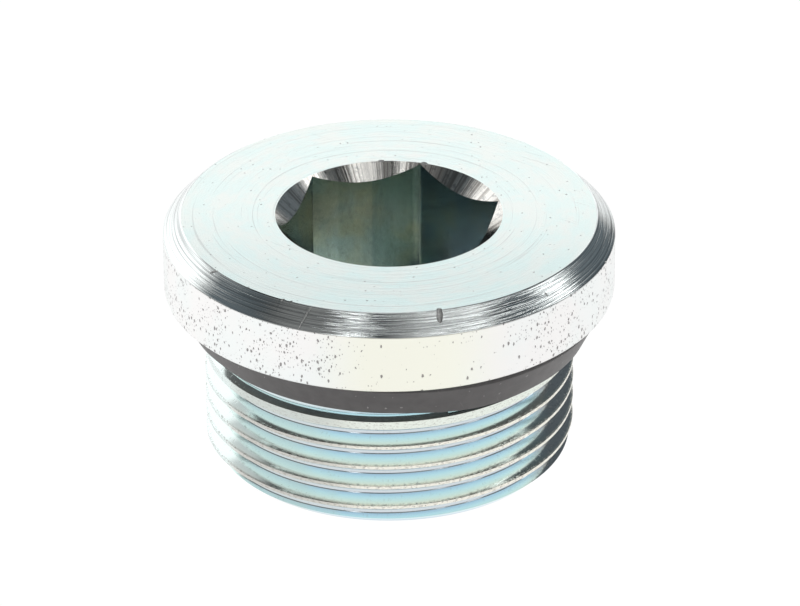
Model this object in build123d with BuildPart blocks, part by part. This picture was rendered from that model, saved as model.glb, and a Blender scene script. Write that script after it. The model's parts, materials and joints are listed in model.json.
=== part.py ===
"""Hexagon-socket screw plug with a captive profile seal ring.

A turned steel plug stands on its threaded end with its axis along +Z. It has a
chamfered flange with a broached hexagon socket, an undercut neck that carries an
elastomer seal ring, and a right-hand external thread. The origin is the centre
of the end face, and the front of the plug faces -Y. Lengths are in millimetres,
and angles, in degrees, are turned anticlockwise about +Z from the front.
"""

from build123d import *
from math import atan2, degrees, hypot, radians, tan
import os

# Overall height
plug_height = 22.5

# External right-hand thread, M33 x 2
thread_major = 32.9
thread_pitch = 2.0
thread_depth = 1.15
crest_width = 0.29
half_flank_angle = 30.0
end_chamfer = 1.2

# Flange, which stands out beyond the thread
flange_overhang = 3.55
flange_height = 6.95
top_chamfer = 1.6

# Seal recess inside the flange's rim, and the undercut neck that it surrounds
recess_rim_width = 0.9
recess_depth = 1.05
neck_undercut = 0.6
neck_length = 4.4

# Top of the thread: the full groove runs out into a shallow one, which goes on above a
# wide land and runs out in the neck. The land's upper edge is below the neck's foot by
# the drop at the front.
full_runout_angle = 140.0
shallow_runout_angle = 60.0
runout_sweep = 60.0
shallow_depth = 0.83
shallow_root_width = 0.2
land_width = 0.81
land_drop = 0.45

# Hexagon socket, broached down from a countersunk, flat-bottomed pilot hole
socket_across_flats = 17.25
socket_depth = 11.0
socket_turn = 13.7
mouth_diameter = 20.1
countersink_angle = 98.0
pilot_diameter = 16.4
pilot_depth = 12.5

# Seal ring, which hangs a little low and askew on the neck: its right side is down
seal_height = 3.8
seal_shoulder_drop = 0.6
seal_lower_taper = 1.25
seal_upper_taper = 0.6
seal_tilt = 1.6
seal_bore_clearance = 0.1
seal_recess_clearance = 0.15
seal_roof_clearance = 0.6

# Allowance by which a cutter stands clear of the metal that it leaves
cut_overrun = 0.6

# Sizes that follow from the ones above
front_angle = -90.0
thread_radius = thread_major / 2
flange_radius = thread_radius + flange_overhang
recess_radius = flange_radius - recess_rim_width
neck_radius = thread_radius - neck_undercut
pilot_radius = pilot_diameter / 2
stop_face_height = plug_height - flange_height
recess_roof_height = stop_face_height + recess_depth
neck_floor_height = stop_face_height - neck_length
flank_slope = tan(radians(half_flank_angle))
half_groove_width = (thread_pitch - crest_width) / 2
half_shallow_width = shallow_root_width / 2 + shallow_depth * flank_slope


def helix_rise(turned):
    """Height that the thread gains while it turns by an angle."""
    return thread_pitch * turned / 360


def helical_cutter(outline, start_angle, end_angle, front_height, lift=0.0):
    """Solid that a closed outline of radii and heights sweeps along the thread's helix.

    The helix passes the front at front_height. The outline stands where the helix
    starts, and it moves outwards by the lift on its way.
    """
    turned = end_angle - start_angle
    rise = helix_rise(turned)
    with BuildPart() as cutter:
        with BuildLine():
            Helix(
                pitch=hypot(rise, lift) * 360 / turned,
                height=rise,
                radius=thread_radius,
                cone_angle=degrees(atan2(lift, rise)),
            )
        with BuildSketch(Plane.XZ):
            with BuildLine():
                Polyline(*outline, close=True)
            make_face()
        sweep(is_frenet=True)
    start_height = front_height + helix_rise(start_angle)
    start = Location((0, 0, start_height), (0, 0, front_angle + start_angle))
    return start * cutter.part


def groove_cutters(depth, half_width, start_angle, runout_angle, front_height):
    """Cutters of a groove and of its run-out, in which it lifts out of the metal."""
    root_width = half_width - depth * flank_slope
    mouth_width = half_width + cut_overrun * flank_slope
    outline = [
        (thread_radius - depth, -root_width),
        (thread_radius - depth, root_width),
        (thread_radius + cut_overrun, mouth_width),
        (thread_radius + cut_overrun, -mouth_width),
    ]
    groove = helical_cutter(outline, start_angle, runout_angle, front_height)
    runout = helical_cutter(
        outline,
        runout_angle,
        runout_angle + runout_sweep,
        front_height,
        lift=depth + cut_overrun / 2,
    )
    return [groove, runout]


# Both grooves take their height at the front from the land between them
land_top_height = neck_floor_height - land_drop
shallow_height = land_top_height + half_shallow_width
groove_height = land_top_height - land_width - half_groove_width

# The full groove comes in from below the end face
full_groove = groove_cutters(
    thread_depth,
    half_groove_width,
    start_angle=-360 * (groove_height / thread_pitch + 1),
    runout_angle=full_runout_angle,
    front_height=groove_height,
)

# The shallow groove starts inside the full one, a turn below
shallow_groove = groove_cutters(
    shallow_depth,
    half_shallow_width,
    start_angle=full_runout_angle - 360,
    runout_angle=shallow_runout_angle,
    front_height=shallow_height,
)

with BuildPart() as plug_body:
    # Turned blank, with its neck and the seal recess
    with BuildSketch(Plane.XZ):
        with BuildLine():
            Polyline(
                (0, 0),
                (thread_radius, 0),
                (thread_radius, neck_floor_height),
                (neck_radius, neck_floor_height),
                (neck_radius, recess_roof_height),
                (recess_radius, recess_roof_height),
                (recess_radius, stop_face_height),
                (flange_radius, stop_face_height),
                (flange_radius, plug_height),
                (0, plug_height),
                close=True,
            )
        make_face()
    revolve(axis=Axis.Z)
    rims = plug_body.edges().filter_by(GeomType.CIRCLE)
    end_rim = rims.group_by(Axis.Z)[0]
    top_rim = rims.group_by(SortBy.RADIUS)[-1].sort_by(Axis.Z)[-1]
    chamfer(end_rim, end_chamfer)
    chamfer(top_rim, top_chamfer)

    # Thread
    for cutter in full_groove + shallow_groove:
        add(cutter, mode=Mode.SUBTRACT)

    # Pilot hole with its countersunk mouth, then the broached hexagon
    with Locations((0, 0, plug_height)):
        CounterSinkHole(
            radius=pilot_radius,
            counter_sink_radius=mouth_diameter / 2,
            depth=pilot_depth,
            counter_sink_angle=countersink_angle,
        )
    with BuildSketch(Plane.XY.offset(plug_height)):
        RegularPolygon(
            radius=socket_across_flats / 2,
            side_count=6,
            major_radius=False,
            rotation=socket_turn,
        )
    extrude(amount=-socket_depth, mode=Mode.SUBTRACT)

# Seal ring: its top stands in the recess, and it tapers up and down from a shoulder below
# the flange
seal_bore_radius = neck_radius + seal_bore_clearance
seal_outer_radius = recess_radius - seal_recess_clearance
seal_middle_height = recess_roof_height - seal_roof_clearance - seal_height / 2
seal_shoulder = stop_face_height - seal_shoulder_drop - seal_middle_height
seal_plane = Plane(origin=(0, 0, seal_middle_height)).rotated((0, seal_tilt, 0))
seal_section = Plane(origin=seal_plane.origin, x_dir=seal_plane.x_dir, z_dir=-seal_plane.y_dir)
seal_axis = Axis(seal_plane.origin, seal_plane.z_dir)

with BuildPart() as seal_ring:
    with BuildSketch(seal_section):
        with BuildLine():
            Polyline(
                (seal_bore_radius, -seal_height / 2),
                (seal_outer_radius - seal_lower_taper, -seal_height / 2),
                (seal_outer_radius, seal_shoulder),
                (seal_outer_radius - seal_upper_taper, seal_height / 2),
                (seal_bore_radius, seal_height / 2),
                close=True,
            )
        make_face()
    revolve(axis=seal_axis)

os.makedirs("parts", exist_ok=True)
plug_body.part.label = "plug_body"
export_step(plug_body.part, "parts/plug_body.step")
seal_ring.part.label = "seal_ring"
export_step(seal_ring.part, "parts/seal_ring.step")
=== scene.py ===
"""Looks of a hexagon-socket screw plug and its seal ring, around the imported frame."""

import json
import math

import bmesh
import bpy
from mathutils import Matrix, Vector


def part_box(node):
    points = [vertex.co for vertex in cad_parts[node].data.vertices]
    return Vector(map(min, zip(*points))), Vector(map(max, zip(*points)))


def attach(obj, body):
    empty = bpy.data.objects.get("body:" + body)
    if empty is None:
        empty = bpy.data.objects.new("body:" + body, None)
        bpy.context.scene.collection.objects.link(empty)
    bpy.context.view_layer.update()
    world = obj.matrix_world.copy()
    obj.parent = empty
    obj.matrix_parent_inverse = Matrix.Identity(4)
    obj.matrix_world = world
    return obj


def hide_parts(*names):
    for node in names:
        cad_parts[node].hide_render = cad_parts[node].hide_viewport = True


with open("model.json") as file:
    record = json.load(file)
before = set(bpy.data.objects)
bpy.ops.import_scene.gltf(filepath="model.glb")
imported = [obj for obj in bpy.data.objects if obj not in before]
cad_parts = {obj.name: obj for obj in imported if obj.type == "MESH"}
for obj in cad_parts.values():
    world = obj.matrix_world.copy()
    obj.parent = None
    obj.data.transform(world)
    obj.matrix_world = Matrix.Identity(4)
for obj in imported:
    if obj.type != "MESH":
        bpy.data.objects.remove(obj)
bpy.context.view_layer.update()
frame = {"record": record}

# Meshes are modelled in millimetres and made metres when they are finished
MM = 0.001
MERGE_DISTANCE = 0.0005
TURN_STEPS = 360
FULL_TURN = 2 * math.pi
SHARP_ANGLE = 33

# Sizes that the frame gives
plug_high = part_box("plug_body")[1]
mounts = {mount["name"]: mount for mount in frame["record"]["mounts"]}
PLUG_HEIGHT = plug_high.z / MM
FLANGE_RADIUS = plug_high.x / MM
STOP_FACE_HEIGHT = mounts["stop_face"]["pos_m"][2] / MM
THREAD_RADIUS = mounts["thread"]["dims"]["r_mm"]
THREAD_LENGTH = mounts["thread"]["dims"]["length_mm"]
SOCKET_DEPTH = mounts["hex_socket"]["dims"]["length_mm"]

# Flange, recess and neck
TOP_CHAMFER = 1.6
END_CHAMFER = 1.2
RECESS_RIM_WIDTH = 0.9
RECESS_DEPTH = 1.05
RECESS_RADIUS = FLANGE_RADIUS - RECESS_RIM_WIDTH
RECESS_ROOF_HEIGHT = STOP_FACE_HEIGHT + RECESS_DEPTH
NECK_UNDERCUT = 0.6
NECK_RADIUS = THREAD_RADIUS - NECK_UNDERCUT
EDGE_ROUND = 0.08
LOWER_EDGE_ROUND = 0.3
EDGE_SEGMENTS = 3
CORNER_SEGMENTS = 4

# The neck's floor is a little lower than in the solids, and so is the land under it
NECK_FLOOR_DROP = 0.2
NECK_FLOOR_HEIGHT = THREAD_LENGTH - NECK_FLOOR_DROP

# Thread
PITCH = 2.0
THREAD_DEPTH = 1.15
HALF_GROOVE_WIDTH = 0.855
HALF_FLANK_ANGLE = 30
FLANK_SLOPE = math.tan(math.radians(HALF_FLANK_ANGLE))
ROOT_ROUND = 0.09
GROOVE_TURNS = 6

# Allowance by which a cutter stands clear of the metal that it leaves
OVERRUN = 0.6

# Top of the thread, where a wide land divides the full groove from a shallow one. The
# cutters start between whole degrees, so that their edges miss those of the blank.
LAND_WIDTH = 0.61
LAND_DROP = 0.12
LAND_OVERLAP = 0.2
LAND_START = -160.25
LAND_END = 95
LAND_EASE = 40
LAND_TOP_DROP = 0.45
SHALLOW_DEPTH = 0.83
SHALLOW_ROOT_WIDTH = 0.12
SHALLOW_ROOT_ROUND = 0.04
HALF_SHALLOW_WIDTH = SHALLOW_ROOT_WIDTH / 2 + SHALLOW_DEPTH * FLANK_SLOPE
RUNOUT_SWEEP = 60
FULL_RUNOUT_START = 140.5
SHALLOW_RUNOUT_START = 60.25
LAND_TOP_HEIGHT = NECK_FLOOR_HEIGHT - LAND_TOP_DROP
SHALLOW_HEIGHT = LAND_TOP_HEIGHT + HALF_SHALLOW_WIDTH
GROOVE_HEIGHT = LAND_TOP_HEIGHT - LAND_WIDTH - HALF_GROOVE_WIDTH

# Socket
SOCKET_ACROSS_FLATS = 17.25
SOCKET_TURN = 13.7
SOCKET_CORNER_ROUND = 0.08
MOUTH_RADIUS = 10.05
COUNTERSINK_ANGLE = 98
COUNTERSINK_SLOPE = math.tan(math.radians(COUNTERSINK_ANGLE / 2))
PILOT_RADIUS = 8.2
PILOT_DEPTH = 12.5

# Seal ring
SEAL_HEIGHT = 3.8
SEAL_LOWER_TAPER = 1.25
SEAL_UPPER_TAPER = 0.6
SEAL_SHOULDER_DROP = 0.6
SEAL_TILT = 1.6
SEAL_EDGE_ROUND = 0.06
SEAL_BORE_CLEARANCE = 0.1
SEAL_RECESS_CLEARANCE = 0.15
SEAL_ROOF_CLEARANCE = 0.6
SEAL_BORE_RADIUS = NECK_RADIUS + SEAL_BORE_CLEARANCE
SEAL_OUTER_RADIUS = RECESS_RADIUS - SEAL_RECESS_CLEARANCE
SEAL_MIDDLE_HEIGHT = RECESS_ROOF_HEIGHT - SEAL_ROOF_CLEARANCE - SEAL_HEIGHT / 2
SEAL_SHOULDER = STOP_FACE_HEIGHT - SEAL_SHOULDER_DROP - SEAL_MIDDLE_HEIGHT

# The soft ring is a little wavy: angle, height and half width of its rise and its sag
SEAL_WAVES = ((-56, 0.12, 8), (4, 0.06, 7), (28, -0.22, 14))

# Nicks and scratches from handling: angle, radius, height and slope of the surface, then
# the nick's length up the slope, width, depth and lean
NICKS = (
    (13.4, 18.65, 22.05, 45, 1.7, 0.7, 0.24, 8),
    (-29.7, 18.35, 22.45, 45, 0.5, 0.3, 0.1, 40),
    (-27.4, 18.35, 22.42, 45, 0.7, 0.22, 0.1, 30),
    (-54.7, 18.5, 22.4, 45, 1.1, 0.25, 0.12, 48),
    (-22.0, 19.2, 21.7, 45, 2.3, 0.22, 0.09, 15),
    (44.9, 19.2, 21.7, 45, 0.45, 0.2, 0.05, -20),
    (38.3, 19.8, 21.05, 45, 0.6, 0.12, 0.05, 35),
    (39.6, 19.7, 21.15, 45, 0.5, 0.1, 0.05, 40),
    (52.0, 20.0, 20.9, 20, 0.4, 0.35, 0.07, 0),
    (71.5, 20.0, 20.9, 20, 0.5, 0.3, 0.07, 0),
    (9.2, 16.45, 5.75, 0, 0.5, 0.28, 0.2, 15),
    (-43.0, 16.45, 7.28, 0, 0.35, 0.3, 0.12, 0),
    (184.0, 10.1, 22.5, 90, 0.35, 0.55, 0.15, 0),
    (161.7, 10.1, 22.5, 90, 0.4, 0.65, 0.15, 15),
)
NICK_SUBDIVISIONS = 3

# Finishes of the plug, in the order of its material slots
FINISHES = (
    "faced",
    "chamfered",
    "rim",
    "necked",
    "threaded",
    "countersunk",
    "broached",
    "nicked",
)


def paint(mesh, finish):
    """Gives every face of a form one finish."""
    for face in mesh.faces:
        face.material_index = FINISHES.index(finish)
    return mesh


def radius_of(vertex):
    """Distance of a vertex from the plug's axis."""
    return math.hypot(vertex.co.x, vertex.co.y)


def turn(angle):
    """Rotation about the plug's axis by an angle in degrees."""
    return Matrix.Rotation(math.radians(angle), 4, "Z")


def angle_of(point):
    """Angle in degrees from the front, anticlockwise about the axis, between -180 and 180."""
    return math.degrees(math.atan2(point.x, -point.y))


def wire(mesh, outline, closed=False):
    """Adds a wire through (radius, height) points in the plane of the axis and the front."""
    vertices = [mesh.verts.new((0, -radius, height)) for radius, height in outline]
    ends = vertices[1:] + vertices[:1] if closed else vertices[1:]
    return vertices + [mesh.edges.new(pair) for pair in zip(vertices, ends)]


def turned_form(outline):
    """Full turn of an outline that starts and ends on the axis."""
    mesh = bmesh.new()
    bmesh.ops.spin(
        mesh,
        geom=wire(mesh, outline),
        axis=(0, 0, 1),
        angle=FULL_TURN,
        steps=TURN_STEPS,
        use_merge=True,
    )
    bmesh.ops.remove_doubles(mesh, verts=mesh.verts, dist=MERGE_DISTANCE)
    bmesh.ops.recalc_face_normals(mesh, faces=mesh.faces)
    return mesh


def on_ring(edge, radius, height):
    """Whether an edge lies on the circle of a radius and a height."""
    return all(
        abs(radius_of(vertex) - radius) < MERGE_DISTANCE
        and abs(vertex.co.z - height) < MERGE_DISTANCE
        for vertex in edge.verts
    )


def round_rings(mesh, rings, offset):
    """Rounds the circular edges that lie at the given (radius, height) pairs."""
    chosen = [edge for edge in mesh.edges for ring in rings if on_ring(edge, *ring)]
    bmesh.ops.bevel(
        mesh,
        geom=chosen,
        offset=offset,
        segments=EDGE_SEGMENTS,
        profile=0.5,
        affect="EDGES",
        material=-1,
        clamp_overlap=True,
    )


def blank_finish(radius, height):
    """Finish of the blank at a radius and a height."""
    if 0 < height < NECK_FLOOR_HEIGHT - MERGE_DISTANCE:
        return "threaded"
    inside = radius < RECESS_RADIUS + MERGE_DISTANCE
    if inside and 0 < height < RECESS_ROOF_HEIGHT + MERGE_DISTANCE:
        return "necked"
    if height > PLUG_HEIGHT - MERGE_DISTANCE or height < STOP_FACE_HEIGHT + MERGE_DISTANCE:
        return "faced"
    if height > PLUG_HEIGHT - TOP_CHAMFER:
        return "chamfered"
    return "rim"


def blank_form():
    """Turned blank of the plug: threaded part, neck, seal recess and flange."""
    top_ring = (FLANGE_RADIUS - TOP_CHAMFER, PLUG_HEIGHT)
    rim_ring = (FLANGE_RADIUS, PLUG_HEIGHT - TOP_CHAMFER)
    rim_foot = (FLANGE_RADIUS, STOP_FACE_HEIGHT)
    recess_ring = (RECESS_RADIUS, STOP_FACE_HEIGHT)
    mesh = turned_form(
        [
            (0, 0),
            (THREAD_RADIUS - END_CHAMFER, 0),
            (THREAD_RADIUS, END_CHAMFER),
            (THREAD_RADIUS, NECK_FLOOR_HEIGHT),
            (NECK_RADIUS, NECK_FLOOR_HEIGHT),
            (NECK_RADIUS, RECESS_ROOF_HEIGHT),
            (RECESS_RADIUS, RECESS_ROOF_HEIGHT),
            recess_ring,
            rim_foot,
            rim_ring,
            top_ring,
            (0, PLUG_HEIGHT),
        ]
    )
    round_rings(mesh, [top_ring, rim_ring, recess_ring], EDGE_ROUND)
    round_rings(mesh, [rim_foot], LOWER_EDGE_ROUND)
    for face in mesh.faces:
        place = face.calc_center_median()
        face.material_index = FINISHES.index(blank_finish(place.xy.length, place.z))
    return mesh


def sweep(mesh, section, turned):
    """Sweeps a section along the thread's helix and gives the section at its end."""
    steps = max(1, round(TURN_STEPS * turned / 360))
    return bmesh.ops.spin(
        mesh,
        geom=section,
        axis=(0, 0, 1),
        dvec=(0, 0, PITCH * turned / 360 / steps),
        angle=math.radians(turned),
        steps=steps,
    )["geom_last"]


def section_at(mesh, outline, angle, front_height, root_round=None):
    """Closed section of a helical cutter where its sweep starts.

    A root round rounds the outline's first and last corners, which are at the root.
    """
    section = wire(mesh, outline, closed=True)
    corners = section[: len(outline)]
    if root_round:
        mesh.faces.new(corners)
        bmesh.ops.bevel(
            mesh,
            geom=[corners[0], corners[-1]],
            offset=root_round,
            segments=CORNER_SEGMENTS,
            profile=0.5,
            affect="VERTICES",
            material=-1,
        )
        bmesh.ops.delete(mesh, geom=mesh.faces[:], context="FACES_ONLY")
    bmesh.ops.translate(mesh, vec=(0, 0, front_height + PITCH * angle / 360), verts=mesh.verts)
    bmesh.ops.rotate(mesh, matrix=turn(angle), verts=mesh.verts)
    return mesh.verts[:] + mesh.edges[:]


def close_ends(mesh):
    """Closes a swept cutter at both ends."""
    bmesh.ops.holes_fill(mesh, edges=mesh.edges)
    bmesh.ops.recalc_face_normals(mesh, faces=mesh.faces)


def groove_outline(depth, half_width):
    """Radii and heights of a groove's flanks and root, drawn on past the thread's crest."""
    root_width = half_width - depth * FLANK_SLOPE
    mouth_width = half_width + OVERRUN * FLANK_SLOPE
    half = [
        (THREAD_RADIUS - depth, root_width),
        (THREAD_RADIUS, half_width),
        (THREAD_RADIUS + OVERRUN, mouth_width),
    ]
    return half + [(radius, -width) for radius, width in reversed(half)]


def add_runout(mesh, section, start, depth):
    """Sweeps a groove's cutter on while it lifts out of the metal."""
    straight = set(mesh.verts)
    sweep(mesh, section, RUNOUT_SWEEP)
    lift = depth + OVERRUN / 2
    for vertex in mesh.verts:
        if vertex not in straight:
            turned = (angle_of(vertex.co) - start) % 360
            radius = radius_of(vertex)
            vertex.co.xy *= (radius + lift * turned / RUNOUT_SWEEP) / radius


def groove_form():
    """Cutter of the full groove, from below the end face up to its run-out."""
    mesh = bmesh.new()
    outline = groove_outline(THREAD_DEPTH, HALF_GROOVE_WIDTH)
    section = section_at(mesh, outline, FULL_RUNOUT_START - 360, GROOVE_HEIGHT, ROOT_ROUND)
    section = sweep(mesh, section, 360)
    one_turn = mesh.verts[:] + mesh.edges[:] + mesh.faces[:]
    for lower_turn in range(1, GROOVE_TURNS):
        copy = bmesh.ops.duplicate(mesh, geom=one_turn)["geom"]
        vertices = [item for item in copy if isinstance(item, bmesh.types.BMVert)]
        bmesh.ops.translate(mesh, vec=(0, 0, -PITCH * lower_turn), verts=vertices)
    add_runout(mesh, section, FULL_RUNOUT_START, THREAD_DEPTH)
    bmesh.ops.remove_doubles(mesh, verts=mesh.verts, dist=MERGE_DISTANCE)
    close_ends(mesh)
    return paint(mesh, "threaded")


def shallow_groove_form():
    """Cutter of the shallow groove, from inside the full one up to its run-out in the neck."""
    mesh = bmesh.new()
    outline = groove_outline(SHALLOW_DEPTH, HALF_SHALLOW_WIDTH)
    turned = round(SHALLOW_RUNOUT_START + 360 - FULL_RUNOUT_START)
    start = SHALLOW_RUNOUT_START - turned
    section = section_at(mesh, outline, start, SHALLOW_HEIGHT, SHALLOW_ROOT_ROUND)
    section = sweep(mesh, section, turned)
    add_runout(mesh, section, SHALLOW_RUNOUT_START, SHALLOW_DEPTH)
    close_ends(mesh)
    return paint(mesh, "threaded")


def land_form():
    """Cutter that skims the land a little below the crests, with eased ends."""
    land_radius = THREAD_RADIUS - LAND_DROP
    half_width = LAND_WIDTH / 2 + LAND_OVERLAP
    outline = [
        (land_radius, half_width),
        (THREAD_RADIUS + OVERRUN, half_width),
        (THREAD_RADIUS + OVERRUN, -half_width),
        (land_radius, -half_width),
    ]
    mesh = bmesh.new()
    section = section_at(mesh, outline, LAND_START, LAND_TOP_HEIGHT - LAND_WIDTH / 2)
    sweep(mesh, section, LAND_END - LAND_START)
    for vertex in mesh.verts:
        if radius_of(vertex) < THREAD_RADIUS:
            turned = (angle_of(vertex.co) - LAND_START) % 360
            share = min(1, turned / LAND_EASE, (LAND_END - LAND_START - turned) / LAND_EASE)
            vertex.co.xy *= 1 + 2 * LAND_DROP * (1 - share) / land_radius
    close_ends(mesh)
    return paint(mesh, "threaded")


def pilot_form():
    """Cutter of the flat-bottomed pilot hole with its countersunk mouth."""
    mesh = turned_form(
        [
            (0, PLUG_HEIGHT - PILOT_DEPTH),
            (PILOT_RADIUS, PLUG_HEIGHT - PILOT_DEPTH),
            (PILOT_RADIUS, PLUG_HEIGHT - (MOUTH_RADIUS - PILOT_RADIUS) / COUNTERSINK_SLOPE),
            (MOUTH_RADIUS + OVERRUN * COUNTERSINK_SLOPE, PLUG_HEIGHT + OVERRUN),
            (0, PLUG_HEIGHT + OVERRUN),
        ]
    )
    return paint(mesh, "countersunk")


def hexagon_form():
    """Cutter of the broached hexagon."""
    mesh = bmesh.new()
    height = SOCKET_DEPTH + OVERRUN
    middle = PLUG_HEIGHT + OVERRUN - height / 2
    corner_radius = SOCKET_ACROSS_FLATS / math.sqrt(3)
    bmesh.ops.create_cone(
        mesh,
        cap_ends=True,
        segments=6,
        radius1=corner_radius,
        radius2=corner_radius,
        depth=height,
        matrix=Matrix.Translation((0, 0, middle)) @ turn(SOCKET_TURN - 90),
    )
    corners = [
        edge for edge in mesh.edges if abs(edge.verts[0].co.z - edge.verts[1].co.z) > height / 2
    ]
    bmesh.ops.bevel(
        mesh,
        geom=corners,
        offset=SOCKET_CORNER_ROUND,
        segments=CORNER_SEGMENTS,
        profile=0.5,
        affect="EDGES",
        material=-1,
    )
    return paint(mesh, "broached")


def nicks_form():
    """Cutters of the nicks, each a flattened ball sunk in the surface."""
    mesh = bmesh.new()
    for angle, radius, height, slope, length, width, depth, lean in NICKS:
        place = turn(angle) @ Matrix.Translation((0, -radius, height))
        tipped = Matrix.Rotation(math.radians(90 - slope), 4, "X") @ turn(-lean)
        shape = Matrix.Diagonal((width, length, 2 * depth, 1))
        bmesh.ops.create_icosphere(
            mesh,
            subdivisions=NICK_SUBDIVISIONS,
            radius=0.5,
            matrix=place @ tipped @ shape,
        )
    return paint(mesh, "nicked")


def seal_form():
    """Seal ring, level, about the middle of its height."""
    mesh = bmesh.new()
    rings = [
        (SEAL_BORE_RADIUS, -SEAL_HEIGHT / 2),
        (SEAL_OUTER_RADIUS - SEAL_LOWER_TAPER, -SEAL_HEIGHT / 2),
        (SEAL_OUTER_RADIUS, SEAL_SHOULDER),
        (SEAL_OUTER_RADIUS - SEAL_UPPER_TAPER, SEAL_HEIGHT / 2),
        (SEAL_BORE_RADIUS, SEAL_HEIGHT / 2),
    ]
    section = wire(mesh, rings, closed=True)
    bmesh.ops.spin(
        mesh,
        geom=section,
        axis=(0, 0, 1),
        angle=FULL_TURN,
        steps=TURN_STEPS,
        use_merge=True,
    )
    bmesh.ops.remove_doubles(mesh, verts=mesh.verts, dist=MERGE_DISTANCE)
    bmesh.ops.recalc_face_normals(mesh, faces=mesh.faces)
    round_rings(mesh, rings, SEAL_EDGE_ROUND)
    return mesh


def hang_seal(mesh):
    """Waves the ring's lower part, and sets it askew on the neck."""
    for vertex in mesh.verts:
        share = 0.5 - vertex.co.z / SEAL_HEIGHT
        angle = angle_of(vertex.co)
        for middle, rise, width in SEAL_WAVES:
            vertex.co.z += share * rise * math.exp(-(((angle - middle) / width) ** 2))
    tilt = Matrix.Rotation(math.radians(SEAL_TILT), 4, "Y")
    bmesh.ops.rotate(mesh, matrix=tilt, verts=mesh.verts)
    bmesh.ops.translate(mesh, vec=(0, 0, SEAL_MIDDLE_HEIGHT), verts=mesh.verts)
    return mesh


def new_object(name, mesh):
    """Object of a finished form."""
    data = bpy.data.meshes.new(name)
    mesh.to_mesh(data)
    mesh.free()
    obj = bpy.data.objects.new(name, data)
    bpy.context.scene.collection.objects.link(obj)
    return obj


def subtract(obj, cutter_mesh):
    """Cuts a closed form out of an object."""
    cutter = new_object("cutter", cutter_mesh)
    for finish in obj.data.materials:
        cutter.data.materials.append(finish)
    modifier = obj.modifiers.new("cut", "BOOLEAN")
    modifier.operation = "DIFFERENCE"
    modifier.solver = "MANIFOLD"
    modifier.object = cutter
    depsgraph = bpy.context.evaluated_depsgraph_get()
    result = bpy.data.meshes.new_from_object(obj.evaluated_get(depsgraph), depsgraph=depsgraph)
    obj.modifiers.clear()
    old = obj.data
    obj.data = result
    bpy.data.meshes.remove(old)
    bpy.data.objects.remove(cutter)


def finish_piece(obj):
    """Makes a piece metres, with smooth faces between its sharp edges."""
    mesh = bmesh.new()
    mesh.from_mesh(obj.data)
    bmesh.ops.remove_doubles(mesh, verts=mesh.verts, dist=MERGE_DISTANCE)
    bmesh.ops.scale(mesh, vec=(MM, MM, MM), verts=mesh.verts)
    for face in mesh.faces:
        face.smooth = True
    mesh.to_mesh(obj.data)
    mesh.free()
    obj.data.set_sharp_from_angle(angle=math.radians(SHARP_ANGLE))
    weighted = obj.modifiers.new("weighted", "WEIGHTED_NORMAL")
    weighted.keep_sharp = True


def direction(azimuth, elevation):
    """Unit vector towards an azimuth from the front, anticlockwise, and an elevation."""
    side, up = math.radians(azimuth), math.radians(elevation)
    return Vector((math.sin(side) * math.cos(up), -math.cos(side) * math.cos(up), math.sin(up)))


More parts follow.
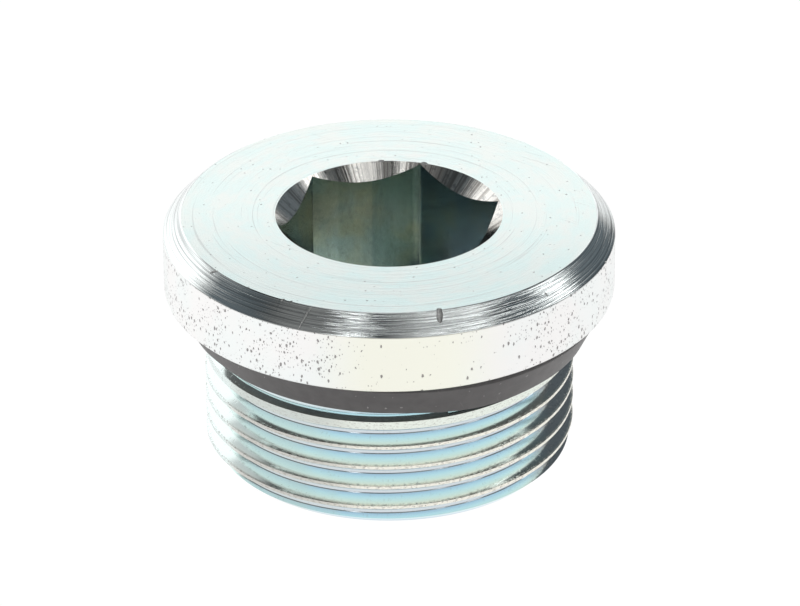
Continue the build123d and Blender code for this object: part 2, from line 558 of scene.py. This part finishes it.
class Nodes:
    """Short way to build a node tree."""

    def __init__(self, tree):
        """Starts from an empty tree."""
        self.tree = tree
        tree.nodes.clear()

    def add(self, kind, inputs=None, **settings):
        """Adds a node, sets its properties, and sets or links its inputs."""
        node = self.tree.nodes.new(kind)
        for name, value in settings.items():
            setattr(node, name, value)
        for name, value in (inputs or {}).items():
            self.feed(node.inputs[name], value)
        return node

    def feed(self, socket, value):
        """Links a socket to another one, or sets its value."""
        if isinstance(value, bpy.types.NodeSocket):
            self.tree.links.new(value, socket)
        elif socket.type == "RGBA":
            socket.default_value = (*value, 1)
        else:
            socket.default_value = value

    def math(self, operation, *values):
        """Result of a sum on plain values."""
        return self.add("ShaderNodeMath", dict(enumerate(values)), operation=operation).outputs[0]

    def vector(self, operation, *values):
        """Result of a sum on vectors."""
        inputs = dict(enumerate(values))
        return self.add("ShaderNodeVectorMath", inputs, operation=operation).outputs[0]

    def times(self, first, second):
        """Product of two values."""
        return self.math("MULTIPLY", first, second)

    def brightest(self, first, *others):
        """The largest of some values."""
        for other in others:
            first = self.math("MAXIMUM", first, other)
        return first

    def scale(self, vector, factor):
        """A vector made longer by a factor."""
        inputs = {0: vector, "Scale": factor}
        return self.add("ShaderNodeVectorMath", inputs, operation="SCALE").outputs[0]

    def toward(self, vector, way):
        """How far a vector reaches along a unit vector."""
        node = self.add("ShaderNodeVectorMath", {0: vector, 1: way}, operation="DOT_PRODUCT")
        return node.outputs["Value"]

    def length(self, vector):
        """Length of a vector."""
        return self.add("ShaderNodeVectorMath", {0: vector}, operation="LENGTH").outputs["Value"]

    def parts(self, vector):
        """The x, y and z of a vector."""
        return self.add("ShaderNodeSeparateXYZ", {0: vector}).outputs

    def combine(self, x, y, z):
        """Vector of an x, a y and a z."""
        return self.add("ShaderNodeCombineXYZ", {0: x, 1: y, 2: z}).outputs[0]

    def noise(self, vector, scale, detail=2.0, roughness=0.5):
        """Soft random values that change with a vector."""
        return self.add(
            "ShaderNodeTexNoise",
            {"Vector": vector, "Scale": scale, "Detail": detail, "Roughness": roughness},
        ).outputs["Fac"]

    def ramp(self, value, stops):
        """Colours at positions from 0 to 1."""
        node = self.add("ShaderNodeValToRGB", {"Fac": value})
        elements = node.color_ramp.elements
        while len(elements) < len(stops):
            elements.new(1.0)
        for element, (position, colour) in zip(elements, stops):
            element.position = position
            element.color = (*colour, 1)
        return node.outputs["Color"]

    def ease(self, value, start, end, low=0.0, high=1.0):
        """Eases from low to high while the value goes from start to end."""
        node = self.add(
            "ShaderNodeMapRange",
            {"Value": value, "From Min": start, "From Max": end, "To Min": low, "To Max": high},
            interpolation_type="SMOOTHSTEP",
        )
        return node.outputs["Result"]

    def mix(self, factor, first, second, blend="MIX"):
        """Mixes or blends two colours."""
        node = self.add("ShaderNodeMix", data_type="RGBA", blend_type=blend)
        for socket, value in ((0, factor), (6, first), (7, second)):
            self.feed(node.inputs[socket], value)
        return node.outputs[2]

    def blend_values(self, factor, first, second):
        """Mixes two plain values."""
        inputs = {0: factor, 2: first, 3: second}
        return self.add("ShaderNodeMix", inputs, data_type="FLOAT").outputs[0]

    def use(self, effect, **inputs):
        """Places a shared effect and gives its outputs by name."""
        node = self.tree.nodes.new("ShaderNodeGroup")
        node.node_tree = effect
        for name, value in inputs.items():
            self.feed(node.inputs[name], value)
        return node.outputs

    def bump(self, height, distance):
        """Normal of a relief, as high as a distance in millimetres."""
        inputs = {"Height": height, "Distance": distance * MM}
        return self.add("ShaderNodeBump", inputs).outputs["Normal"]


def group(name, inputs, outputs):
    """New shared effect with named sockets; gives its tree, nodes, inputs and output node."""
    tree = bpy.data.node_groups.new(name, "ShaderNodeTree")
    nodes = Nodes(tree)
    for socket, kind in inputs.items():
        tree.interface.new_socket(socket, in_out="INPUT", socket_type="NodeSocket" + kind)
    for socket, kind in outputs.items():
        tree.interface.new_socket(socket, in_out="OUTPUT", socket_type="NodeSocket" + kind)
    entry = tree.nodes.new("NodeGroupInput")
    result = tree.nodes.new("NodeGroupOutput")
    return tree, nodes, entry.outputs, result.inputs


def material(name):
    """New material and its nodes."""
    made = bpy.data.materials.new(name)
    made.use_nodes = True
    return made, Nodes(made.node_tree)


# Radius at which the plug's outside is unrolled for its flat patterns
UNROLL_RADIUS = 18


def plug_place_group():
    """Where a point is on the plug, in millimetres and degrees from the front."""
    tree, n, _, out = group(
        "plug_place",
        {},
        {
            "Place": "Vector",
            "Around": "Vector",
            "Unrolled": "Vector",
            "Radius": "Float",
            "Height": "Float",
            "Angle": "Float",
        },
    )
    metres = n.add("ShaderNodeTexCoord").outputs["Object"]
    place = n.scale(metres, 1 / MM)
    x, y, z = n.parts(place)
    flat = n.combine(x, y, 0)
    n.feed(out["Place"], place)
    n.feed(out["Around"], n.vector("NORMALIZE", flat))
    n.feed(out["Radius"], n.length(flat))
    n.feed(out["Height"], z)
    angle = n.math("ARCTAN2", x, n.times(y, -1))
    n.feed(out["Angle"], n.math("DEGREES", angle))
    n.feed(out["Unrolled"], n.combine(n.times(angle, UNROLL_RADIUS), z, 0))
    return tree


def turning_lines_group():
    """Ridges that a turning tool leaves around the axis, a spacing apart on average."""
    tree, n, given, out = group(
        "turning_lines",
        {"Across": "Float", "Around": "Vector", "Spacing": "Float", "Drift": "Float"},
        {"Height": "Float"},
    )
    feed = n.math("DIVIDE", given["Across"], given["Spacing"])
    drift = n.scale(given["Around"], given["Drift"])
    shifted = n.vector("ADD", drift, n.combine(0, 0, feed))
    n.feed(out["Height"], n.noise(shifted, scale=1.0, detail=3, roughness=0.65))
    return tree


# How far the outlines of pits are bent, in cells
PIT_BEND = (0.35, 0.35, 0.0)


def pits_group():
    """Small pits and specks of uneven size in the plating, laid over a flat place."""
    tree, n, given, out = group(
        "pits",
        {"Place": "Vector", "Cell": "Float", "Size": "Float", "Amount": "Float"},
        {"Mask": "Float"},
    )
    scaled = n.scale(given["Place"], n.math("DIVIDE", 1, given["Cell"]))
    warp = n.add("ShaderNodeTexNoise", {"Vector": scaled, "Scale": 3.0, "Detail": 2.0})
    bent = n.vector("MULTIPLY_ADD", warp.outputs["Color"], PIT_BEND, scaled)
    cells = n.add(
        "ShaderNodeTexVoronoi",
        {"Vector": bent, "Scale": 1.0, "Randomness": 1.0},
        voronoi_dimensions="2D",
    )
    size_pick, keep_pick, _ = n.parts(cells.outputs["Color"])
    reach = n.times(given["Size"], n.math("MULTIPLY_ADD", size_pick, 0.75, 0.25))
    depth = n.math("SUBTRACT", 1, n.math("DIVIDE", cells.outputs["Distance"], reach))
    kept = n.math("LESS_THAN", keep_pick, given["Amount"])
    n.feed(out["Mask"], n.times(n.ease(depth, 0.0, 0.5), kept))
    return tree


def scratches_group():
    """Thin straight scratches along one direction, broken up into short lengths."""
    tree, n, given, out = group(
        "scratches",
        {
            "Place": "Vector",
            "Direction": "Float",
            "Length": "Float",
            "Width": "Float",
            "Amount": "Float",
        },
        {"Mask": "Float"},
    )
    turned = n.add(
        "ShaderNodeVectorRotate",
        {"Vector": given["Place"], "Angle": given["Direction"]},
        rotation_type="Z_AXIS",
    ).outputs[0]
    stretch = n.combine(
        n.math("DIVIDE", 1, given["Length"]), n.math("DIVIDE", 1, given["Width"]), 0
    )
    stretched = n.vector("MULTIPLY", turned, stretch)
    streak = n.noise(stretched, scale=1.0, detail=1, roughness=0.4)
    level = n.math("SUBTRACT", 0.8, n.times(given["Amount"], 0.25))
    n.feed(out["Mask"], n.ease(n.math("SUBTRACT", streak, level), 0.0, 0.05))
    return tree


def blotches_group():
    """Slow change between two tints of the passivated plating."""
    tree, n, given, out = group(
        "blotches",
        {"Place": "Vector", "Size": "Float", "First": "Color", "Second": "Color"},
        {"Color": "Color"},
    )
    cloud = n.noise(given["Place"], n.math("DIVIDE", 1, given["Size"]), detail=3, roughness=0.6)
    n.feed(out["Color"], n.mix(n.ease(cloud, 0.35, 0.65), given["First"], given["Second"]))
    return tree


PLACE = plug_place_group()
TURNING_LINES = turning_lines_group()
PITS = pits_group()
SCRATCHES = scratches_group()
BLOTCHES = blotches_group()


def tool_lines(n, at, across, spacing, drift):
    """Turning lines of a tool that was fed across the plug's radius or its height."""
    lines = {"Across": at[across], "Around": at["Around"], "Spacing": spacing, "Drift": drift}
    return n.use(TURNING_LINES, **lines)["Height"]


def zinc(n, made, colour, roughness, normal):
    """Ends a material as zinc plating."""
    shader = n.add(
        "ShaderNodeBsdfPrincipled",
        {"Base Color": colour, "Metallic": 1.0, "Roughness": roughness, "Normal": normal},
    )
    n.add("ShaderNodeOutputMaterial", {"Surface": shader.outputs[0]})
    return made


# How fast a texture changes along each axis of its place: the tints around the faced top,
# the upright pits of the rim, the level grain of the crests, the chatter marks around the
# countersunk mouth, and the upright streaks of the broach
ARC_STRETCH = (9, 9, 0)
PIT_STRETCH = (1, 0.6, 0)
GRAIN_STRETCH = (2.2, 6, 0)
CHATTER_STRETCH = (16, 16, 0)
BROACH_STRETCH = (3.0, 3.0, 0.05)

# Depths below the thread's crests over which their wear fades in, and depths below the
# plug's top over which the chatter does
CREST_DEPTHS = (0.2, 0.08)
CHATTER_DEPTHS = (4, 3)


def faced_material():
    """Faced top and underside: pale mint plating over fine turning lines."""
    made, n = material("faced_zinc")
    mint, pale_mint = (0.80, 0.92, 0.90), (0.86, 0.91, 0.88)
    front_shade = (0.84, 0.88, 0.89)
    groove, polish = (0.5, 0.53, 0.53), (0.93, 0.95, 0.94)
    scratch, speck = (0.5, 0.5, 0.5), (0.2, 0.21, 0.21)
    at = n.use(PLACE)
    arcs = n.vector("MULTIPLY_ADD", at["Around"], ARC_STRETCH, n.combine(0, 0, at["Radius"]))
    tint = n.use(BLOTCHES, Place=arcs, Size=2.2, First=mint, Second=pale_mint)["Color"]
    front = n.ease(n.parts(at["Place"])[1], 4, -16)
    tint = n.mix(front, tint, n.mix(1.0, tint, front_shade, blend="MULTIPLY"))
    lines = tool_lines(n, at, "Radius", spacing=0.24, drift=0.7)
    fine = tool_lines(n, at, "Radius", spacing=0.1, drift=2.5)
    specks = n.use(PITS, Place=at["Place"], Cell=0.85, Size=0.11, Amount=0.25)["Mask"]
    scratches = n.use(
        SCRATCHES, Place=at["Place"], Direction=0.6, Length=9.0, Width=0.12, Amount=0.2
    )["Mask"]
    tint = n.mix(n.ease(lines, 0.58, 0.72, 0.0, 0.5), tint, groove)
    tint = n.mix(n.ease(fine, 0.4, 0.3, 0.0, 0.3), tint, polish)
    tint = n.mix(n.times(scratches, 0.15), tint, scratch)
    tint = n.mix(n.times(specks, 0.75), tint, speck)
    ridges = n.math("MULTIPLY_ADD", fine, 0.5, lines)
    hollows = n.times(n.math("MULTIPLY_ADD", scratches, 0.4, specks), 0.8)
    normal = n.bump(n.math("SUBTRACT", ridges, hollows), distance=0.008)
    return zinc(n, made, tint, roughness=0.26, normal=normal)


def chamfered_material():
    """Top chamfer, turned with a coarser feed."""
    made, n = material("chamfered_zinc")
    bright, groove, fine_groove = (0.95, 1.0, 0.99), (0.5, 0.53, 0.53), (0.42, 0.45, 0.45)
    at = n.use(PLACE)
    lines = tool_lines(n, at, "Height", spacing=0.13, drift=0.5)
    fine = tool_lines(n, at, "Height", spacing=0.055, drift=1.4)
    colour = n.mix(n.ease(lines, 0.5, 0.62), bright, groove)
    colour = n.mix(n.ease(fine, 0.5, 0.66, 0.0, 0.7), colour, fine_groove)
    relief = n.math("ADD", fine, n.ease(lines, 0.4, 0.6))
    return zinc(n, made, colour, roughness=0.1, normal=n.bump(relief, distance=0.009))


def rim_material():
    """Rim of the flange: cream and pink plating with clusters of dark pits."""
    made, n = material("rim_zinc")
    pink, mint, cream = (0.96, 0.95, 0.94), (0.93, 0.96, 0.95), (0.97, 0.97, 0.86)
    pit = (0.22, 0.2, 0.2)
    at = n.use(PLACE)
    tint = n.use(BLOTCHES, Place=at["Place"], Size=5.0, First=pink, Second=mint)["Color"]
    creamy = n.times(n.ease(at["Angle"], -22, -4), n.ease(at["Angle"], 34, 12))
    tint = n.mix(creamy, tint, cream)

    # Few pits at the front, and clusters of them around the rest
    clean = n.times(n.ease(at["Angle"], -16, -2), n.ease(at["Angle"], 42, 26))
    cluster = n.ease(n.noise(at["Place"], scale=0.5), 0.4, 0.6)
    amount = n.times(
        n.math("MULTIPLY_ADD", cluster, 0.85, 0.12), n.math("MULTIPLY_ADD", clean, -0.85, 1)
    )
    upright = n.vector("MULTIPLY", at["Unrolled"], PIT_STRETCH)
    pits = n.use(PITS, Place=upright, Cell=0.45, Size=0.29, Amount=amount)["Mask"]
    small = n.use(PITS, Place=upright, Cell=0.25, Size=0.2, Amount=amount)["Mask"]
    marks = n.brightest(pits, n.times(small, 0.8))
    colour = n.mix(n.times(marks, 0.85), tint, pit)
    return zinc(n, made, colour, roughness=0.28, normal=n.bump(n.times(marks, -1), distance=0.03))


def necked_material():
    """Neck and recess, smooth from the tool."""
    made, n = material("necked_zinc")
    pale_blue = (0.72, 0.82, 0.85)
    at = n.use(PLACE)
    lines = tool_lines(n, at, "Height", spacing=0.15, drift=1.0)
    return zinc(n, made, pale_blue, roughness=0.2, normal=n.bump(lines, distance=0.004))


# Tints of the thread's plating from the root, at 0, to the crest, at 1
FRONT_TINTS = (
    (0.0, (0.68, 0.74, 0.78)),
    (0.1, (0.60, 0.74, 0.84)),
    (0.35, (0.68, 0.86, 0.91)),
    (0.6, (0.75, 0.89, 0.88)),
    (0.85, (0.80, 0.88, 0.82)),
    (1.0, (0.93, 0.91, 0.82)),
)
SIDE_TINTS = (
    (0.0, (0.66, 0.72, 0.74)),
    (0.15, (0.66, 0.78, 0.80)),
    (0.6, (0.72, 0.85, 0.84)),
    (0.9, (0.78, 0.86, 0.82)),
    (1.0, (0.93, 0.92, 0.86)),
)


def thread_tint(n, at, crest):
    """Tint of the thread's plating, which changes from blue at the root to straw at the crest.

    It has a painted pale reflection on the left, and a painted dark, speckled reflection on the
    right, below the crest.
    """
    pale_mint, reflected_grey, reflected_charcoal = (0.82, 0.92, 0.90), (0.66, 0.67, 0.67), (0.38, 0.38, 0.38)
    angle = at["Angle"]
    root = THREAD_RADIUS - THREAD_DEPTH
    rise = n.add(
        "ShaderNodeMapRange",
        {"Value": at["Radius"], "From Min": root, "From Max": THREAD_RADIUS},
    ).outputs["Result"]
    cloud = n.math("SUBTRACT", n.noise(at["Place"], scale=0.35), 0.5)
    left = n.ease(n.math("MULTIPLY_ADD", cloud, 40, angle), -12, -38)
    left = n.times(left, n.ease(angle, -175, -125))
    tint = n.mix(left, n.ramp(rise, FRONT_TINTS), n.ramp(rise, SIDE_TINTS))
    # Painted reflection: the thread turns pale mint-white on its left side
    white_reflection_share = n.times(n.ease(angle, -50, -64), n.ease(angle, -160, -110))
    tint = n.mix(white_reflection_share, tint, pale_mint)
    # Painted dark reflection on the right, charcoal and speckled, below the crest
    dark_reflection_share = n.times(n.ease(angle, 54, 64), n.ease(angle, 130, 95))
    reflection_spots = n.use(PITS, Place=at["Unrolled"], Cell=0.22, Size=0.3, Amount=0.8)["Mask"]
    painted_dark_reflection = n.mix(reflection_spots, reflected_grey, reflected_charcoal)
    return n.mix(n.times(dark_reflection_share, n.math("SUBTRACT", 1, crest)), tint, painted_dark_reflection)


def threaded_material():
    """Thread: tinted plating, worn at the crest."""
    made, n = material("threaded_zinc")
    dull_grey, bare = (0.42, 0.42, 0.40), (0.36, 0.34, 0.31)
    at = n.use(PLACE)
    crest = n.ease(at["Radius"], *(THREAD_RADIUS - depth for depth in CREST_DEPTHS))
    tint = thread_tint(n, at, crest)
    dull = n.times(crest, n.ease(at["Angle"], -6, -22, 0.0, 0.55))
    tint = n.mix(n.times(dull, n.ease(at["Angle"], -62, -50)), tint, dull_grey)
    level = n.vector("MULTIPLY", at["Unrolled"], GRAIN_STRETCH)
    grain = n.noise(level, scale=1.0, detail=4, roughness=0.85)
    worn = n.times(n.ease(grain, 0.5, 0.64), crest)
    specks = n.use(PITS, Place=at["Unrolled"], Cell=0.45, Size=0.2, Amount=0.35)["Mask"]
    wear = n.brightest(n.times(worn, 0.75), n.times(specks, 0.5))
    colour = n.mix(n.times(wear, n.math("MULTIPLY_ADD", crest, 0.7, 0.3)), tint, bare)
    lines = tool_lines(n, at, "Radius", spacing=0.1, drift=1.0)
    relief = n.math("SUBTRACT", n.times(lines, 0.1), n.times(wear, 0.8))
    return zinc(n, made, colour, roughness=0.12, normal=n.bump(relief, distance=0.01))


def countersunk_material():
    """Countersunk mouth with chatter marks, and the drilled hole under the hexagon."""
    made, n = material("countersunk_zinc")
    bright, furrow, patch = (0.86, 0.85, 0.81), (0.36, 0.34, 0.31), (0.36, 0.37, 0.37)
    at = n.use(PLACE)
    spokes = n.vector("MULTIPLY", at["Around"], CHATTER_STRETCH)
    chatter = n.noise(spokes, scale=1.0, detail=4, roughness=0.75)
    drilled = tool_lines(n, at, "Radius", spacing=0.3, drift=0.6)
    mouth = n.ease(at["Height"], *(PLUG_HEIGHT - depth for depth in CHATTER_DEPTHS))
    marks = n.blend_values(mouth, drilled, chatter)
    mottle = n.noise(at["Place"], scale=1.6, detail=4, roughness=0.75)
    colour = n.mix(n.ease(marks, 0.5, 0.6, 0.0, 0.8), bright, furrow)
    colour = n.mix(n.ease(mottle, 0.5, 0.66, 0.0, 0.6), colour, patch)
    return zinc(n, made, colour, roughness=0.14, normal=n.bump(marks, distance=0.02))


# Painted light and shade of the hexagon's flats, as factors from the left, at 0, to the right, at
# 1, and where that is
FLAT_SPAN = (-7.5, 3.5)
FLAT_LIGHT_AND_SHADE = (
    (0.0, (1.0, 1.0, 1.0)),
    (0.16, (1.1, 1.1, 1.08)),
    (0.19, (0.96, 0.98, 0.94)),
    (0.55, (0.98, 0.98, 0.93)),
    (0.58, (0.78, 0.85, 0.84)),
    (0.95, (0.82, 0.87, 0.84)),
    (0.97, (1.15, 1.15, 1.15)),
    (1.0, (0.9, 0.92, 0.95)),
)


def broached_material():
    """Hexagon flats with broaching streaks along the axis, painted light and shade across the
    flats, and painted shade on the walls towards the right.
    """
    made, n = material("broached_zinc")
    sea_green, olive = (0.60, 0.72, 0.72), (0.74, 0.76, 0.62)
    patch, wall_shade_tint = (0.3, 0.33, 0.32), (0.34, 0.40, 0.52)
    at = n.use(PLACE)
    along = n.vector("MULTIPLY", at["Place"], BROACH_STRETCH)
    streaks = n.noise(along, scale=1.0, detail=4, roughness=0.7)
    mottle = n.noise(at["Place"], scale=2.5, detail=4, roughness=0.75)
    tint = n.use(BLOTCHES, Place=at["Place"], Size=4.0, First=sea_green, Second=olive)["Color"]
    tint = n.mix(n.ease(mottle, 0.5, 0.7, 0.0, 0.5), tint, patch)
    # Painted light and shade: lighter and darker strips across the flats from left to right
    painted_flat_light = n.ramp(n.ease(n.parts(at["Place"])[0], *FLAT_SPAN), FLAT_LIGHT_AND_SHADE)
    tint = n.mix(1.0, tint, painted_flat_light, blend="MULTIPLY")
    # Painted shade on the socket's walls towards the right and the back
    shaded = n.times(n.ease(at["Angle"], 88, 96), n.ease(at["Angle"], 165, 162))
    tint = n.mix(shaded, tint, n.mix(1.0, tint, wall_shade_tint, blend="MULTIPLY"))
    return zinc(n, made, tint, roughness=0.2, normal=n.bump(streaks, distance=0.02))


def nicked_material():
    """Dull metal that the nicks lay open."""
    made, n = material("nicked_zinc")
    light_grey, dark_grey = (0.74, 0.75, 0.74), (0.4, 0.4, 0.39)
    at = n.use(PLACE)
    grain = n.noise(at["Place"], scale=8.0, detail=3, roughness=0.7)
    colour = n.mix(n.ease(grain, 0.35, 0.65), light_grey, dark_grey)
    return zinc(n, made, colour, roughness=0.38, normal=n.bump(grain, distance=0.01))


def elastomer_material():
    """Satin black elastomer with dust and light scuffs."""
    made, n = material("elastomer")
    black, worn_black, grain_black = (0.10, 0.09, 0.09), (0.13, 0.12, 0.118), (0.12, 0.11, 0.11)
    scuff, dust_grey = (0.4, 0.38, 0.37), (0.6, 0.58, 0.55)
    at = n.use(PLACE)
    dust = n.use(PITS, Place=at["Unrolled"], Cell=1.3, Size=0.09, Amount=0.35)["Mask"]
    scuffs = n.use(
        SCRATCHES, Place=at["Unrolled"], Direction=1.1, Length=2.5, Width=0.1, Amount=0.3
    )["Mask"]
    cloud = n.noise(at["Place"], scale=0.8, detail=3)
    grain = n.noise(at["Place"], scale=6.0, detail=3, roughness=0.7)
    colour = n.mix(n.ease(cloud, 0.3, 0.7), black, worn_black)
    colour = n.mix(n.ease(grain, 0.5, 0.75, 0.0, 0.3), colour, grain_black)
    colour = n.mix(n.times(scuffs, 0.25), colour, scuff)
    colour = n.mix(n.times(dust, 0.7), colour, dust_grey)
    lines = tool_lines(n, at, "Height", spacing=0.3, drift=1.0)
    shader = n.add(
        "ShaderNodeBsdfPrincipled",
        {
            "Base Color": colour,
            "Metallic": 0.0,
            "Roughness": 0.45,
            "Specular IOR Level": 0.75,
            "Normal": n.bump(lines, distance=0.01),
        },
    )
    n.add("ShaderNodeOutputMaterial", {"Surface": shader.outputs[0]})
    return made


# Camera, with its angles in radians, its place and its lens
CAMERA_TILT = 0.4995
CAMERA_ROLL = 0.0017
CAMERA_PLACE = Vector((0.956, -438.3, 252.6)) * MM
LENS = 252.5
SENSOR_WIDTH = 36
NEAREST_SEEN = 0.01


def make_camera():
    """Camera in front of the plug, looking down on it."""
    data = bpy.data.cameras.new("camera")
    data.lens = LENS
    data.sensor_width = SENSOR_WIDTH
    data.clip_start = NEAREST_SEEN
    camera = bpy.data.objects.new("camera", data)
    camera.matrix_world = (
        Matrix.Translation(CAMERA_PLACE)
        @ Matrix.Rotation(math.pi / 2 - CAMERA_TILT, 4, "X")
        @ Matrix.Rotation(-CAMERA_ROLL, 4, "Z")
    )
    bpy.context.scene.collection.objects.link(camera)
    bpy.context.scene.camera = camera


# Lamp high behind the plug, in degrees, metres and watts
LAMP_AZIMUTH = 180
LAMP_ELEVATION = 62
LAMP_DISTANCE = 1.2
LAMP_SIZE = 0.5
LAMP_POWER = 0.8


def make_lamp():
    """Weak round lamp that is the only one in the room."""
    data = bpy.data.lights.new("overhead_lamp", "AREA")
    data.shape = "DISK"
    data.size = LAMP_SIZE
    data.energy = LAMP_POWER
    lamp = bpy.data.objects.new("overhead_lamp", data)
    away = direction(LAMP_AZIMUTH, LAMP_ELEVATION)
    lamp.location = away * LAMP_DISTANCE
    lamp.rotation_euler = away.to_track_quat("Z", "Y").to_euler()
    bpy.context.scene.collection.objects.link(lamp)


# The room's lights. Azimuths and half widths are in degrees. A height is the z of the
# direction in which the room is seen, so 1 is overhead. A pair of heights or of cosines
# says where a light starts and where it is full.

# White sweep, low behind and to the left
SWEEP_AZIMUTH = -159.5
SWEEP_COSINES = (0.60, 0.745)
SWEEP_HEIGHTS = (0.64, 0.54)
SWEEP_STRENGTH = 1.2

# Dim patch over the sweep's left end
PATCH_DIRECTION = direction(-129, 40)
PATCH_COSINES = (0.956, 1.0)
PATCH_STRENGTH = 0.65

# Dim lower walls, but for the dark side of the room
DARK_AZIMUTH = 118
WALL_COSINES = (0.9, 0.75)
WALL_HEIGHTS = (0.4, 0.28)
WALL_STRENGTH = 0.32

# Light roof, straight overhead
ROOF_HEIGHTS = (0.974, 0.988)
ROOF_STRENGTH = 0.7

# White card low on the right
CARD_AZIMUTH = 97
CARD_WIDTHS = (14, 26)
CARD_HEIGHTS = (0.26, 0.1)
CARD_STRENGTH = 0.9

# Soft boxes: azimuth, half widths of the full and of the faded light, and strength
BOX_FOOT_HEIGHTS = (0.3, 0.42)
BOX_HEAD_HEIGHTS = (0.98, 0.93)
SOFT_BOXES = (
    (-52, 4, 34, 0.2),
    (-25, 1, 5, 2.7),
    (27, 12, 34, 0.36),
    (33, 1, 6, 1.6),
    (57, 2, 8, 1.7),
    (104, 4, 8, 2.2),
)

# Unlit room, darker overhead
ROOM_HEIGHTS = (0.5, 0.9)
ROOM_LOW_COLOUR = (0.11, 0.13, 0.145)
ROOM_HIGH_COLOUR = (0.045, 0.05, 0.052)


def light_around(n, level, azimuth, widths, strength):
    """Light on each side of an azimuth, out to the half widths of its full and faded light."""
    full, faded = (math.cos(math.radians(width)) for width in widths)
    return n.ease(n.toward(level, direction(azimuth, 0)), faded, full, 0, strength)


def make_world():
    """Dark room with the lights that the metal mirrors, which the camera sees as white."""
    world = bpy.data.worlds.new("studio")
    world.use_nodes = True
    bpy.context.scene.world = world
    n = Nodes(world.node_tree)
    seen_from = n.add("ShaderNodeTexCoord").outputs["Generated"]
    x, y, z = n.parts(seen_from)
    level = n.vector("NORMALIZE", n.combine(x, y, 0))

    sweep = n.times(
        n.ease(n.toward(level, direction(SWEEP_AZIMUTH, 0)), *SWEEP_COSINES),
        n.ease(z, *SWEEP_HEIGHTS, 0, SWEEP_STRENGTH),
    )
    patch = n.ease(n.toward(seen_from, PATCH_DIRECTION), *PATCH_COSINES, 0, PATCH_STRENGTH)
    walls = n.times(
        n.ease(n.toward(level, direction(DARK_AZIMUTH, 0)), *WALL_COSINES, 0, WALL_STRENGTH),
        n.ease(z, *WALL_HEIGHTS),
    )
    roof = n.ease(z, *ROOF_HEIGHTS, 0, ROOF_STRENGTH)
    card = n.times(
        light_around(n, level, CARD_AZIMUTH, CARD_WIDTHS, CARD_STRENGTH),
        n.ease(z, *CARD_HEIGHTS),
    )
    boxes = 0.0
    for azimuth, full, faded, strength in SOFT_BOXES:
        box = light_around(n, level, azimuth, (full, faded), strength)
        boxes = n.brightest(boxes, box)
    window = n.times(n.ease(z, *BOX_FOOT_HEIGHTS), n.ease(z, *BOX_HEAD_HEIGHTS))
    light = n.brightest(sweep, patch, walls, roof, card, n.times(boxes, window))

    room = n.mix(n.ease(z, *ROOM_HEIGHTS), ROOM_LOW_COLOUR, ROOM_HIGH_COLOUR)
    room = n.mix(1.0, room, n.combine(light, light, light), blend="LIGHTEN")
    tent = n.add("ShaderNodeBackground", {"Color": room, "Strength": 1.0}).outputs[0]
    white = n.add("ShaderNodeBackground", {"Color": (1, 1, 1), "Strength": 1.0}).outputs[0]
    seen = n.add("ShaderNodeLightPath").outputs["Is Camera Ray"]
    mixed = n.add("ShaderNodeMixShader", {0: seen, 1: tent, 2: white}).outputs[0]
    n.add("ShaderNodeOutputWorld", {"Surface": mixed})


# White paper under the plug, a hair below the end face. What the metal mirrors of it is
# brighter on the left, and darkens far off on the room's dark side.
FLOOR_RADIUS = 2.0
FLOOR_SEGMENTS = 64
FLOOR_DROP = 0.02
FLOOR_PAPER = (0.9, 0.9, 0.9)
FLOOR_GLOW = 1.13
MIRRORED_GLOW = (1.08, 1.14)
MIRRORED_LEFT = (-10, -45)
MIRRORED_FAR = (130, 210)
FAR_DARKENING = 0.85
GLOW_SHARE = 0.85


def make_floor():
    """White floor that keeps the plug's shadow."""
    mesh = bmesh.new()
    bmesh.ops.create_circle(
        mesh, cap_ends=True, segments=FLOOR_SEGMENTS, radius=FLOOR_RADIUS
    )
    floor = new_object("floor", mesh)
    made, n = material("paper")
    paper = n.add("ShaderNodeBsdfDiffuse", {"Color": FLOOR_PAPER}).outputs[0]
    path = n.add("ShaderNodeLightPath").outputs
    place = n.scale(n.add("ShaderNodeTexCoord").outputs["Object"], 1 / MM)
    x = n.parts(place)[0]
    far = n.ease(n.toward(place, direction(DARK_AZIMUTH, 0)), *MIRRORED_FAR)
    lit = n.math("MULTIPLY_ADD", far, -FAR_DARKENING, 1)
    mirrored = n.times(n.ease(x, *MIRRORED_LEFT, *MIRRORED_GLOW), lit)
    strength = n.blend_values(path["Is Camera Ray"], mirrored, FLOOR_GLOW)
    glow = n.add("ShaderNodeEmission", {"Color": (1, 1, 1), "Strength": strength}).outputs[0]
    seen = n.brightest(path["Is Camera Ray"], path["Is Glossy Ray"])
    share = n.times(seen, GLOW_SHARE)
    mixed = n.add("ShaderNodeMixShader", {0: share, 1: paper, 2: glow}).outputs[0]
    n.add("ShaderNodeOutputMaterial", {"Surface": mixed})
    floor.data.materials.append(made)
    floor.location.z = -FLOOR_DROP * MM


make_camera()
make_world()
make_floor()
make_lamp()

plug = new_object("plug", blank_form())
for make_finish in (
    faced_material,
    chamfered_material,
    rim_material,
    necked_material,
    threaded_material,
    countersunk_material,
    broached_material,
    nicked_material,
):
    plug.data.materials.append(make_finish())
for form in (groove_form, shallow_groove_form, land_form, pilot_form, hexagon_form, nicks_form):
    subtract(plug, form())
finish_piece(plug)
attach(plug, "root")
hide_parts("plug_body")

seal = new_object("seal", hang_seal(seal_form()))
finish_piece(seal)
seal.data.materials.append(elastomer_material())
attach(seal, "root")
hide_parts("seal_ring")

bpy.context.scene.view_settings.view_transform = "Standard"
